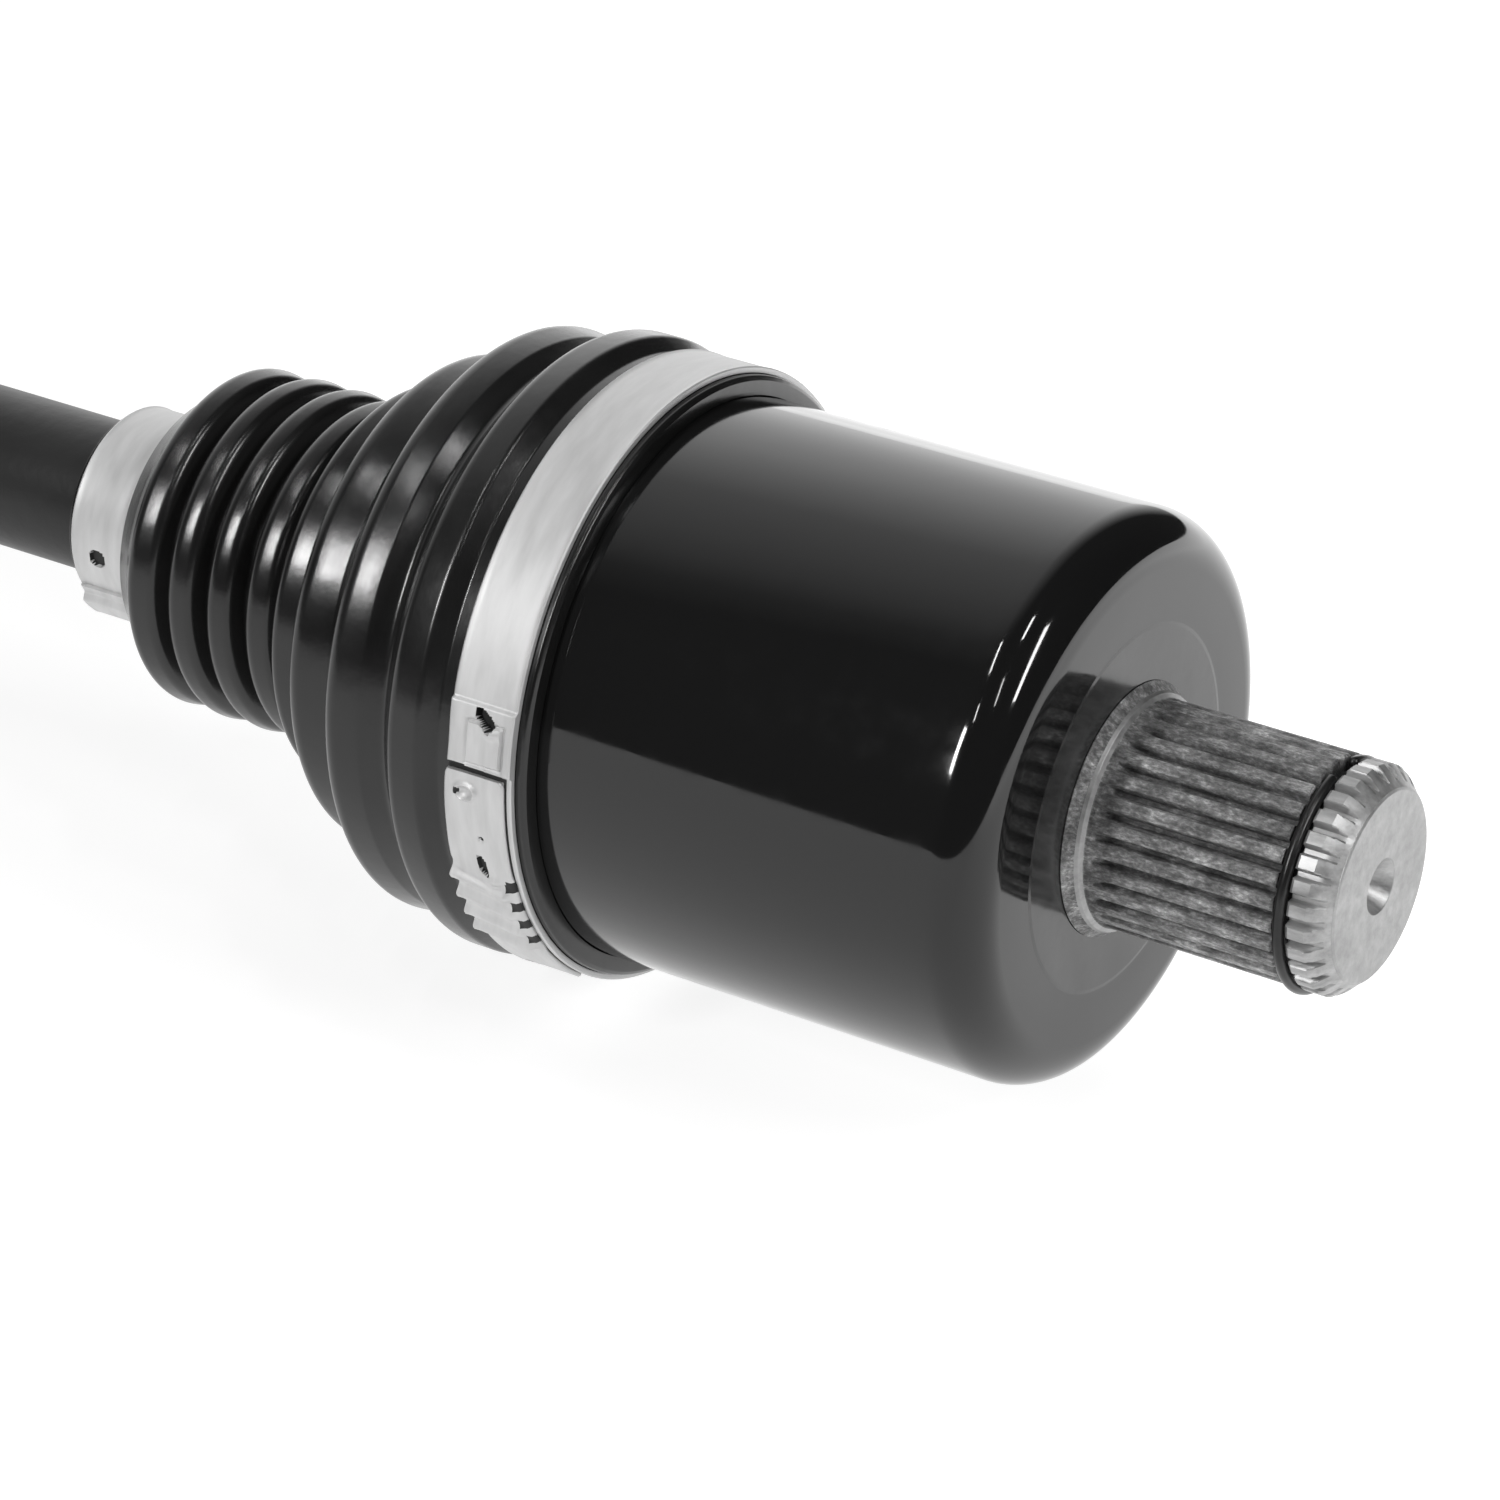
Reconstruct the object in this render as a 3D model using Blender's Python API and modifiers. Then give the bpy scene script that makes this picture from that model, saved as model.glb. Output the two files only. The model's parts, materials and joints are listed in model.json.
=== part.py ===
"""CV axle: a half shaft with a plunging joint at +X and a fixed joint at -X.

The axle lies along X. The plunging joint is a plain cylindrical cup with a splined stub; the bar's
end carries an inner race, six balls in a cage, and the set slides along straight tracks in the cup.
The fixed joint is a bell with a splined and threaded stub. Each joint has a rubber bellows boot held
by two clamps. Lengths below are in millimetres along the axle or out from its axis; MM converts them.
"""
import math

import bmesh
import bpy
from mathutils import Matrix, Vector

MM = 0.001
GAP = 0.3                     # clearance between pieces that touch on the real axle

# Stations along the axle
CUP_FACE = 276.0              # flat front face of the plunging joint's cup
CUP_STUB = 34.0               # stub length beyond that face
CUP_LENGTH = 77.0             # cup face to the cup's open mouth
CUP_PIVOT = CUP_FACE - 42.0   # centre of the plunging joint at mid travel
BELL_PIVOT = -202.0           # centre of the fixed joint
BELL_BACK = BELL_PIVOT - 46.0
BELL_MOUTH = BELL_PIVOT + 22.0
BELL_END = -310.0             # tip of the threaded stub

# Diameters, as radii
BAR_R = 10.2
SEAT_R = 9.9                  # bar under the inner races
CUP_R = 36.0
CUP_BORE_R = 29.5
BELL_R = 43.0
BELL_SEAT_R = 38.0            # bell under its boot
BELL_SPHERE_R = 32.0

# Ball sets: pitch radius, ball radius, track radius, cage and race
BALLS = 6
CUP_PITCH_R, CUP_BALL_R, CUP_TRACK_R = 25.0, 7.94, 8.65
BELL_PITCH_R, BELL_BALL_R, BELL_TRACK_R = 27.5, 8.73, 10.35

# Splines and clamps
CUP_STUB_R, CUP_TEETH = 14.3, 30
BELL_STUB_R, BELL_TEETH = 13.5, 26
TOOTH_DEPTH = 1.1
BAND = 0.8                    # clamp band thickness
WALL = 1.9                    # boot wall
BOOT_SIDES = 24
FLAT = math.cos(math.pi / BOOT_SIDES)   # middle of a boot's side over its corner, as radii

ROUND = 32                    # sides of a large turned piece
FINE = 20                     # sides of a small turned piece

AXLE = (0.045, 0.045, 0.048)
PAINT = (0.012, 0.012, 0.013)
STEEL = (0.46, 0.46, 0.47)
BRIGHT = (0.72, 0.72, 0.73)
RUBBER = (0.014, 0.014, 0.015)

for old in list(bpy.data.objects):
    bpy.data.objects.remove(old, do_unlink=True)


def collection(name):
    made = bpy.data.collections.new(name)
    bpy.context.scene.collection.children.link(made)
    return made


PARTS = collection("cv_axle")
CUTTERS = collection("cutters")


def material(name, colour, roughness, metallic):
    made = bpy.data.materials.new(name)
    made.use_nodes = True
    shader = made.node_tree.nodes["Principled BSDF"]
    shader.inputs["Base Color"].default_value = (*colour, 1.0)
    shader.inputs["Roughness"].default_value = roughness
    shader.inputs["Metallic"].default_value = metallic
    return made


def place(name, mesh, x=0.0, look=None):
    """Make an object at station x. Without a look (colour, roughness, metallic) it is a cutter."""
    made = bpy.data.objects.new(name, mesh)
    made.location = (x * MM, 0.0, 0.0)
    if look is None:
        CUTTERS.objects.link(made)
        made.hide_render = True
        made.display_type = "WIRE"
    else:
        PARTS.objects.link(made)
        mesh.materials.clear()
        mesh.materials.append(material(name, *look))
    return made


def turned(name, profile, x=0.0, look=None, sides=ROUND, closed=False):
    """Turn (station, radius) points about the axle. They run down the outside, +X end first.

    The first corner stands half a side off, so a side faces down."""
    mesh = bpy.data.meshes.new(name)
    start = math.pi / sides
    points = [(radius * math.cos(start) * MM, radius * math.sin(start) * MM, station * MM)
              for station, radius in profile]
    edges = [(i, i + 1) for i in range(len(points) - 1)]
    if closed:
        edges.append((len(points) - 1, 0))
    mesh.from_pydata(points, edges, [])
    made = place(name, mesh, x, look)
    made.rotation_euler = (0.0, math.radians(90.0), 0.0)
    screw = made.modifiers.new("turn", "SCREW")
    screw.steps = screw.render_steps = sides
    screw.use_merge_vertices = True
    screw.merge_threshold = 0.00001
    screw.use_smooth_shade = False
    return made


def boolean(target, tool, operation="DIFFERENCE"):
    step = target.modifiers.new(tool.name, "BOOLEAN")
    step.operation = operation
    step.object = tool
    step.solver = "EXACT"


def tube_along(name, points, radius, cyclic=False, look=None, x=0.0, fineness=1):
    """A round bar of one radius through points (x, y, z), made a mesh with its caps welded."""
    curve = bpy.data.curves.new(name + "_line", "CURVE")
    curve.dimensions = "3D"
    curve.bevel_depth = radius * MM
    curve.bevel_resolution = fineness
    curve.use_fill_caps = True
    spline = curve.splines.new("POLY")
    spline.points.add(len(points) - 1)
    for slot, point in zip(spline.points, points):
        slot.co = (*(Vector(point) * MM), 1.0)
    spline.use_cyclic_u = cyclic
    wire = bpy.data.objects.new(name + "_line", curve)
    bpy.context.scene.collection.objects.link(wire)
    bpy.context.view_layer.update()
    mesh = bpy.data.meshes.new_from_object(wire.evaluated_get(bpy.context.evaluated_depsgraph_get()))
    mesh.name = name
    work = bmesh.new()
    work.from_mesh(mesh)
    bmesh.ops.remove_doubles(work, verts=work.verts, dist=0.00001)
    bmesh.ops.recalc_face_normals(work, faces=work.faces)
    work.to_mesh(mesh)
    work.free()
    bpy.data.objects.remove(wire, do_unlink=True)
    return place(name, mesh, x, look)


def toothed(name, start, end, tip_r, teeth, x=0.0):
    """A splined bar from start to end: flat-topped teeth TOOTH_DEPTH deep."""
    work = bmesh.new()
    made = bmesh.ops.create_circle(work, cap_ends=True, segments=teeth * 4, radius=1.0)
    tip_pinch, root_pinch = 0.18, 0.06    # each pair of corners moves together, in quarter teeth
    for i, vert in enumerate(made["verts"]):
        shift = (tip_pinch, -tip_pinch, root_pinch, -root_pinch)[i % 4]
        radius = (tip_r if i % 4 < 2 else tip_r - TOOTH_DEPTH) * MM
        angle = 2.0 * math.pi * (i + shift) / (teeth * 4)
        vert.co = (0.0, radius * math.cos(angle), radius * math.sin(angle))
    face = work.faces[:][0]
    grown = bmesh.ops.extrude_face_region(work, geom=[face])
    moved = [item for item in grown["geom"] if isinstance(item, bmesh.types.BMVert)]
    bmesh.ops.translate(work, verts=moved, vec=((end - start) * MM, 0.0, 0.0))
    bmesh.ops.translate(work, verts=work.verts, vec=(start * MM, 0.0, 0.0))
    bmesh.ops.recalc_face_normals(work, faces=work.faces)
    mesh = bpy.data.meshes.new(name)
    work.to_mesh(mesh)
    work.free()
    return place(name, mesh, x)


def block(name, size, centre, angle=0.0, x=0.0):
    """A box whose centre (station, radius) is turned by angle about the axle, from +Z."""
    work = bmesh.new()
    bmesh.ops.create_cube(work, size=1.0)
    bmesh.ops.scale(work, vec=Vector(size) * MM, verts=work.verts)
    bmesh.ops.translate(work, vec=Vector((centre[0], 0.0, centre[1])) * MM, verts=work.verts)
    bmesh.ops.rotate(work, matrix=Matrix.Rotation(angle, 3, "X"), verts=work.verts)
    mesh = bpy.data.meshes.new(name)
    work.to_mesh(mesh)
    work.free()
    return place(name, mesh, x)


def arc(radius, first, last, steps, centre_z=0.0):
    """Points on a circle about the axle, from angle first to last in degrees, 0 at +Z."""
    turn = [math.radians(first + (last - first) * i / steps) for i in range(steps + 1)]
    return [(0.0, radius * math.sin(a), radius * math.cos(a) + centre_z) for a in turn]


def corner(x_centre, r_centre, radius, first, last, steps):
    """Profile points round a corner. Angle 0 points along +X and 90 points outward."""
    turn = [math.radians(first + (last - first) * i / steps) for i in range(steps + 1)]
    return [(x_centre + radius * math.cos(a), r_centre + radius * math.sin(a)) for a in turn]


def ball_angle(index):
    return 2.0 * math.pi * index / BALLS


# ---------------------------------------------------------------- shaft bar

def shaft_bar():
    """Solid bar with a seat and a snap ring groove at each end for the inner races."""
    right = CUP_PIVOT
    left = BELL_PIVOT
    end, ring, shoulder = 14.6, 11.4, 11.3
    profile = [
        (right + end, 0.0), (right + end, SEAT_R - 1.2), (right + end - 1.2, SEAT_R),
        (right + ring + 1.8, SEAT_R), (right + ring + 1.8, SEAT_R - 1.1),
        (right + ring, SEAT_R - 1.1), (right + ring, SEAT_R),
        (right - shoulder, SEAT_R), (right - shoulder, BAR_R),
        (left + shoulder + 1.0, BAR_R), (left + shoulder + 1.0, SEAT_R),
        (left - ring - 1.0, SEAT_R), (left - ring - 1.0, SEAT_R - 1.1),
        (left - ring - 2.8, SEAT_R - 1.1), (left - ring - 2.8, SEAT_R),
        (left - end + 0.2, SEAT_R), (left - end - 1.0, SEAT_R - 1.2), (left - end - 1.0, 0.0),
    ]
    turned("axle_bar", profile, look=(AXLE, 0.42, 0.6), sides=FINE)


def snap_ring(name, station, width):
    """Flat open ring in a groove of the bar; it keeps the inner race on its seat."""
    inner, outer = SEAT_R - 0.75, SEAT_R + 1.5
    ring = turned(name, [(width, inner), (width, outer), (0.0, outer), (0.0, inner)], station,
                  look=(STEEL, 0.35, 1.0), sides=FINE, closed=True)
    slit = block(name + "_slit", (width + 2.0, 3.0, 6.0), (width / 2.0, SEAT_R + 0.5), x=station)
    boolean(ring, slit)


# ---------------------------------------------------------------- ball sets

def track_ring(name, index, pitch_r, track_r, x, first=0.0, last=360.0):
    """Part of a torus in the plane of the axle and one ball: the space that the ball rolls in."""
    steps = 32 if last - first > 300.0 else 9
    turn = [math.radians(first + (last - first) * i / steps) for i in range(steps + 1)]
    line = [(pitch_r * math.sin(a), 0.0, pitch_r * math.cos(a)) for a in turn]
    whole = last - first > 359.0
    made = tube_along(name, line[:-1] if whole else line, track_r, cyclic=whole, x=x,
                      fineness=4)
    made.rotation_euler = (ball_angle(index), 0.0, 0.0)
    return made


def inner_race(name, x, sphere_r, half_width, pitch_r, track_r):
    """Ball-shaped race with a bore for the bar and six curved tracks."""
    bore = SEAT_R + GAP
    edge_r = math.sqrt(sphere_r ** 2 - half_width ** 2)
    first = math.degrees(math.asin(edge_r / sphere_r))
    side = corner(0.0, 0.0, sphere_r, first, 180.0 - first, 6)
    profile = [(half_width, bore), *side, (-half_width, bore)]
    race = turned(name, profile, x, look=(STEEL, 0.3, 1.0), sides=ROUND, closed=True)
    for index in range(BALLS // 2):
        boolean(race, track_ring(f"{name}_track_{index}", index, pitch_r, track_r, x))


def cage(name, x, outer_r, inner_r, half_width, window, window_width):
    """Thin spherical ring with six windows that hold the balls in one plane."""
    out_first = math.degrees(math.acos(half_width / outer_r))
    in_first = math.degrees(math.acos(half_width / inner_r))
    outer = corner(0.0, 0.0, outer_r, out_first, 180.0 - out_first, 6)
    inner = corner(0.0, 0.0, inner_r, 180.0 - in_first, in_first, 6)
    shell = turned(name, outer + inner, x, look=(STEEL, 0.4, 1.0), closed=True)
    for index in range(BALLS):
        reach = (outer_r + inner_r) / 2.0
        size = (window, window_width, 3.0 * (outer_r - inner_r))
        boolean(shell, block(f"{name}_window_{index}", size, (0.0, reach), ball_angle(index), x))


def ball_set(prefix, x, pitch_r, ball_r):
    work = bmesh.new()
    bmesh.ops.create_uvsphere(work, u_segments=10, v_segments=7, radius=ball_r * MM)
    mesh = bpy.data.meshes.new(prefix + "_ball")
    work.to_mesh(mesh)
    work.free()
    for index in range(BALLS):
        ball = place(f"{prefix}_ball_{index + 1}", mesh.copy(), x, look=(BRIGHT, 0.12, 1.0))
        angle = ball_angle(index)
        ball.location += Vector((0.0, -math.sin(angle), math.cos(angle))) * pitch_r * MM


def splined_stub(name, blank_profile, start, end, tip_r, teeth, x):
    """A turned blank with teeth cut in it, to be joined to a housing."""
    blank = turned(name + "_blank", blank_profile, x, sides=teeth * 2)
    boolean(blank, toothed(name + "_teeth", start, end, tip_r, teeth, x), "INTERSECT")
    return blank


# ---------------------------------------------------------------- plunging joint

def cup_housing():
    """Cylindrical cup with six straight ball tracks, a ring groove at the mouth and a splined stub."""
    edge = 6.5
    mouth = -CUP_LENGTH
    bore = CUP_BORE_R
    profile = [
        (2.8, 0.0), (2.8, CUP_STUB_R - 0.9), (1.2, CUP_STUB_R + 0.4), (0.4, CUP_STUB_R + 2.0),
        (0.4, 22.4), (0.0, 22.6), *corner(-edge, CUP_R - edge, edge, 0.0, 90.0, 4),
        (mouth + 0.8, CUP_R), (mouth, CUP_R - 0.8), (mouth, bore + 3.0), (mouth + 3.0, bore + 0.4),
        (mouth + 3.9, bore), (-73.0, bore), (-73.0, 31.2), (-70.2, 31.2), (-70.2, bore),
        (-13.5, bore), (-10.5, bore - 3.0), (-10.5, 0.0),
    ]
    cup = turned("inboard_housing", profile, CUP_FACE, look=(PAINT, 0.12, 0.0))
    for index in range(BALLS):
        lane = [(mouth - 3.0, 0.0, CUP_PITCH_R), (-13.0, 0.0, CUP_PITCH_R)]
        track = tube_along(f"cup_track_{index}", lane, CUP_TRACK_R, x=CUP_FACE, fineness=4)
        track.rotation_euler = (ball_angle(index), 0.0, 0.0)
        boolean(cup, track)
    groove, tip = 27.0, CUP_STUB
    blank = [
        (tip - 3.0, 0.0), (tip, 3.2), (tip, 11.6), (tip - 1.6, CUP_STUB_R - 0.25),
        (tip - 2.4, CUP_STUB_R), (groove + 1.8, CUP_STUB_R), (groove + 1.8, CUP_STUB_R - 1.9),
        (groove, CUP_STUB_R - 1.9), (groove, CUP_STUB_R), (0.6, CUP_STUB_R), (0.6, 0.0),
    ]
    stub = splined_stub("cup_stub", blank, 0.5, tip + 1.0, CUP_STUB_R, CUP_TEETH, CUP_FACE)
    boolean(cup, stub, "UNION")


def cup_rings():
    """Wire ring that retains the stub in a differential, and the stop ring in the cup's mouth."""
    look = (STEEL, 0.3, 1.0)
    tube_along("stub_circlip", arc(13.9, 12.0, 348.0, 26, -0.35), 0.7, look=look, x=CUP_FACE + 27.9)
    tube_along("inboard_stop_ring", arc(29.8, 6.0, 354.0, 30), 1.05, look=look, x=CUP_FACE - 71.6)


def boot(name, outline, x):
    """Bellows: the outline is its outer surface; the inner one lies a wall's thickness inside.

    Each outline point is (station, outer radius, inner radius). An inner radius of None is one wall
    less than the outer, and 0 gives the inner surface no point there."""
    outer = [(station, radius) for station, radius, _ in outline]
    inner = [(s, r - WALL if own is None else own) for s, r, own in reversed(outline) if own != 0]
    turned(name, outer + inner, x, look=(RUBBER, 0.38, 0.0), sides=BOOT_SIDES,
           closed=True)


def bellows(crests, valleys, crest_r, valley_r):
    """Alternating valley and crest points, from the first valley on."""
    points = []
    for crest, valley in zip(crests, valleys):
        points.append((crest, crest_r, None))
        points.append((valley, valley_r, None))
    return points


def cup_boot():
    cuff = (CUP_R + GAP) / FLAT
    pitch = 6.1
    first = -112.5
    crests = [first - pitch * i for i in range(3)]
    outline = [
        (-60.4, 37.6, cuff), (-60.9, 38.5, cuff), (-72.0, 38.5, cuff), (-73.2, 39.3, 37.9),
        (-76.8, 39.8, 37.9), (-79.2, 38.2, 0), (-82.0, 36.2, None), (-84.6, 37.4, 0),
        (-87.2, 37.9, None), (-89.8, 36.6, 0), (-93.0, 31.8, None), (-95.6, 32.2, 0),
        (-98.0, 32.2, None), (-100.4, 29.6, 0), (-102.2, 26.8, None), (-104.0, 26.3, None),
        (-109.0, 20.2, None),
        *bellows(crests, [c - pitch / 2.0 for c in crests], 22.4, 18.8),
        (first - 3.0 * pitch, 22.3, None), (-134.2, 20.6, 0), (-137.4, 17.4, None),
        (-139.2, 13.9, None), (-139.9, 12.6, BAR_R + GAP), (-149.9, 12.6, BAR_R + GAP),
    ]
    boot("inboard_boot", outline, CUP_FACE)


# ---------------------------------------------------------------- fixed joint

def bell_housing():
    """Bell with a ball-shaped cavity and six curved tracks, and a splined, threaded stub."""
    sphere = BELL_SPHERE_R
    mouth = BELL_MOUTH - BELL_PIVOT
    lip = 14.0
    first = math.degrees(math.acos(lip / sphere))
    cavity = corner(0.0, 0.0, sphere, first, 152.0, 8)
    back = BELL_BACK - BELL_PIVOT
    end = BELL_END - BELL_PIVOT
    thread_r, neck_r = 10.0, 16.5
    profile = [
        (cavity[-1][0], 0.0), *reversed(cavity), (mouth, 34.6), (mouth, BELL_SEAT_R - 0.8),
        (mouth - 0.8, BELL_SEAT_R), (7.0, BELL_SEAT_R), (6.0, BELL_R), (-24.0, BELL_R),
        *corner(-24.0, BELL_R - 12.0, 12.0, 100.0, 160.0, 4), (-38.0, 24.0), (back + 5.0, 20.5),
        (back, 20.0), (back, neck_r), (back - 3.0, neck_r - 0.5), (back - 4.0, BELL_STUB_R - TOOTH_DEPTH),
        (back - 36.0, BELL_STUB_R - TOOTH_DEPTH), (back - 37.6, thread_r - 0.8),
        (back - 40.0, thread_r - 0.8), (back - 40.8, thread_r), (end + 1.2, thread_r),
        (end, thread_r - 1.2), (end, 2.6), (end + 2.6, 0.0),
    ]
    bell = turned("outboard_housing", profile, BELL_PIVOT, look=(PAINT, 0.16, 0.0))
    for index in range(BALLS):
        boolean(bell, track_ring(f"bell_track_{index}", index, BELL_PITCH_R, BELL_TRACK_R,
                                 BELL_PIVOT, -52.0, 52.0))
    blank = [(back - 4.5, 0.0), (back - 4.5, BELL_STUB_R), (back - 35.0, BELL_STUB_R),
             (back - 36.4, BELL_STUB_R - TOOTH_DEPTH), (back - 36.4, 0.0)]
    stub = splined_stub("bell_stub", blank, back - 36.0, back - 3.0, BELL_STUB_R, BELL_TEETH,
                        BELL_PIVOT)
    boolean(bell, stub, "UNION")
    hole = [(end + 7.0, 0.0, -15.0), (end + 7.0, 0.0, 15.0)]
    boolean(bell, tube_along("cotter_hole", hole, 2.0, x=BELL_PIVOT, fineness=2))


def bell_boot():
    """Taller bellows that taper towards the bar, so the joint can bend further."""
    cuff = (BELL_SEAT_R + GAP) / FLAT
    folds = [(33.6, 39.8, 35.4), (44.4, 37.6, 31.8), (54.6, 34.0, 27.8), (64.2, 29.8, 23.6),
             (73.2, 25.6, 19.8), (81.6, 22.0, 17.0)]
    outline = [(10.6, 40.4, cuff), (20.6, 40.4, cuff), (22.6, 40.6, 38.4), (27.4, 37.4, None)]
    for crest, crest_r, valley_r in folds:
        outline.append((crest, crest_r, None))
        outline.append((crest + 5.2, valley_r, None))
    outline += [(90.4, 14.6, None), (91.4, 12.6, BAR_R + GAP), (101.0, 12.6, BAR_R + GAP)]
    boot("outboard_boot", outline[::-1], BELL_PIVOT)


# ---------------------------------------------------------------- clamps

def clamp(name, x, start, end, boot_r, ear, ear_angle):
    """Band clamp: a thin ring with a pressed closure of size ear at ear_angle, 0 at +Z."""
    inner = boot_r + GAP
    outer = inner + BAND
    band = turned(name, [(end, inner), (end, outer), (start, outer), (start, inner)], x,
                  look=(BRIGHT, 0.3, 1.0), closed=True)
    closure = block(name + "_closure", ear, ((start + end) / 2.0, outer + ear[2] / 2.0 - 0.35),
                    math.radians(ear_angle), x)
    bevel = closure.modifiers.new("round", "BEVEL")
    bevel.width = 0.25 * MM
    bevel.segments = 1
    boolean(band, closure, "UNION")


def clamps():
    clamp("inboard_large_clamp", CUP_FACE, -71.1, -61.8, 38.5, (7.0, 12.0, 1.6), 118.0)
    clamp("inboard_small_clamp", CUP_FACE, -148.9, -140.4, 12.6, (6.0, 6.0, 3.6), 132.0)
    clamp("outboard_large_clamp", BELL_PIVOT, 11.0, 20.2, 40.4, (7.0, 12.0, 1.2), 118.0)
    clamp("outboard_small_clamp", BELL_PIVOT, 91.8, 100.4, 12.6, (6.0, 6.0, 3.6), 132.0)


shaft_bar()
snap_ring("inboard_race_circlip", CUP_PIVOT + 11.7, 1.2)
snap_ring("outboard_race_circlip", BELL_PIVOT - 13.9, 1.2)

inner_race("inboard_race", CUP_PIVOT, 23.0, 11.0, CUP_PITCH_R, CUP_TRACK_R)
cage("inboard_cage", CUP_PIVOT, 28.9, 23.6, 12.5, 16.7, 18.4)
ball_set("inboard", CUP_PIVOT, CUP_PITCH_R, CUP_BALL_R)
cup_housing()
cup_rings()
cup_boot()

inner_race("outboard_race", BELL_PIVOT, 25.6, 12.0, BELL_PITCH_R, BELL_TRACK_R)
cage("outboard_cage", BELL_PIVOT, 31.4, 26.2, 13.5, 18.3, 20.4)
ball_set("outboard", BELL_PIVOT, BELL_PITCH_R, BELL_BALL_R)
bell_housing()
bell_boot()
clamps()
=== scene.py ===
"""CV axle on a pale floor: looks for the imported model, seen from the plunging joint's stub end."""
import json
import math

import bmesh
import bpy
import numpy as np
from mathutils import Matrix, Vector

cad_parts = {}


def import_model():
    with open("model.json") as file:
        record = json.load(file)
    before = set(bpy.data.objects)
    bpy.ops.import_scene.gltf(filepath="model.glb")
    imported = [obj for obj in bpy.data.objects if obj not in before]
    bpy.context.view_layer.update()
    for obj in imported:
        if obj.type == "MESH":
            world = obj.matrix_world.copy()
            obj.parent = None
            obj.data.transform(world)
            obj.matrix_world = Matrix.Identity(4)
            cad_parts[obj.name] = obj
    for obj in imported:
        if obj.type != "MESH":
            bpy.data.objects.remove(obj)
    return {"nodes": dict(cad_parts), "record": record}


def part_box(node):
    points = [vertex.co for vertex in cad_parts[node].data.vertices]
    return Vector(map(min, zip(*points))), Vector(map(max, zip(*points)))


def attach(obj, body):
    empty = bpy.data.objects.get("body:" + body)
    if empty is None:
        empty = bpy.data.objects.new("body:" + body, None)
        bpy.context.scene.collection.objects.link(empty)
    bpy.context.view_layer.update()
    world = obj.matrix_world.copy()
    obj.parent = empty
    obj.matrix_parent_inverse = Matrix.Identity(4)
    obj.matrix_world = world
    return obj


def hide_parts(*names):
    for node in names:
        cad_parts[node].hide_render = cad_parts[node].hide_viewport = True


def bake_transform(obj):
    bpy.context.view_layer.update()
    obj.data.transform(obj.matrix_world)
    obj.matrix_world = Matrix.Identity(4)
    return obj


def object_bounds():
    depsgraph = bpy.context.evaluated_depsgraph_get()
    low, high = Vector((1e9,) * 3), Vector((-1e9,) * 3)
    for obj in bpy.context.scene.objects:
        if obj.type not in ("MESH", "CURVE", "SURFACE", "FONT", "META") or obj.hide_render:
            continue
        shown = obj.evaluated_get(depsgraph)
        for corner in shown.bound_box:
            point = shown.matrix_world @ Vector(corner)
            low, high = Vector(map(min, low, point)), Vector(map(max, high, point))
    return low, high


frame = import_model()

# Lengths are in mm and angles in degrees, except where a comment or Blender says otherwise.
CAD_BOX = [list(corner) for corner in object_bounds()]         # metres
MM = 0.001
FACE = frame["record"]["mounts"][1]["pos_m"][0] / MM       # cup's front face, along X
CUP_PIVOT = sum(c[0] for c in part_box("inboard_ball_1")) / 2.0 / MM
BELL_PIVOT = sum(c[0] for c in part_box("outboard_ball_1")) / 2.0 / MM
STUB_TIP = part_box("inboard_housing")[1][0] / MM - FACE     # end of the splined stub, from the face
BELL_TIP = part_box("outboard_housing")[0][0] / MM - BELL_PIVOT
FLOOR_Z = CAD_BOX[0][2] - 0.0002                           # metres

SIDES = 192                   # sides of a turned piece
BALLS = 6                     # in each joint
CUFF = 12.7                   # outer radius of both boots' cuffs on the bar
BAR_BORE = 10.3               # inner radius of those cuffs
RUBBER_WALL = 1.2
TAU = 2.0 * math.pi


# ---------------------------------------------------------------- materials

def new_material(name, colour, roughness, metallic=0.0, **sockets):
    """A Principled material; returns it with its shader and node tree."""
    made = bpy.data.materials.new(name)
    made.use_nodes = True
    tree = made.node_tree
    shader = tree.nodes["Principled BSDF"]
    shader.inputs["Base Color"].default_value = (*colour, 1.0)
    shader.inputs["Roughness"].default_value = roughness
    shader.inputs["Metallic"].default_value = metallic
    for socket, value in sockets.items():
        shader.inputs[socket.replace("_", " ")].default_value = value
    return made, shader, tree


def noise(tree, scale, detail=3.0, stretch=(1.0, 1.0, 1.0), rough=0.5):
    """Noise in object space; stretch squeezes it along each axis."""
    coords = tree.nodes.new("ShaderNodeTexCoord")
    mapping = tree.nodes.new("ShaderNodeMapping")
    mapping.inputs["Scale"].default_value = stretch
    texture = tree.nodes.new("ShaderNodeTexNoise")
    texture.inputs["Scale"].default_value = scale
    texture.inputs["Detail"].default_value = detail
    texture.inputs["Roughness"].default_value = rough
    tree.links.new(coords.outputs["Object"], mapping.inputs["Vector"])
    tree.links.new(mapping.outputs["Vector"], texture.inputs["Vector"])
    return texture.outputs["Fac"]


def ramp(tree, source, stops):
    """Grey ramp over source; stops are (place, value)."""
    node = tree.nodes.new("ShaderNodeValToRGB")
    band = node.color_ramp
    while len(band.elements) < len(stops):
        band.elements.new(0.5)
    for element, (place, value) in zip(band.elements, stops):
        element.position = place
        element.color = (value, value, value, 1.0)
    tree.links.new(source, node.inputs["Fac"])
    return node.outputs["Color"]


def mapped(tree, source, low, high, out_low, out_high):
    """Source's stretch from low to high, moved onto the one from out_low to out_high."""
    node = tree.nodes.new("ShaderNodeMapRange")
    ends = {"From Min": low, "From Max": high, "To Min": out_low, "To Max": out_high}
    for name, value in ends.items():
        node.inputs[name].default_value = value
    tree.links.new(source, node.inputs["Value"])
    return node.outputs["Result"]


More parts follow.
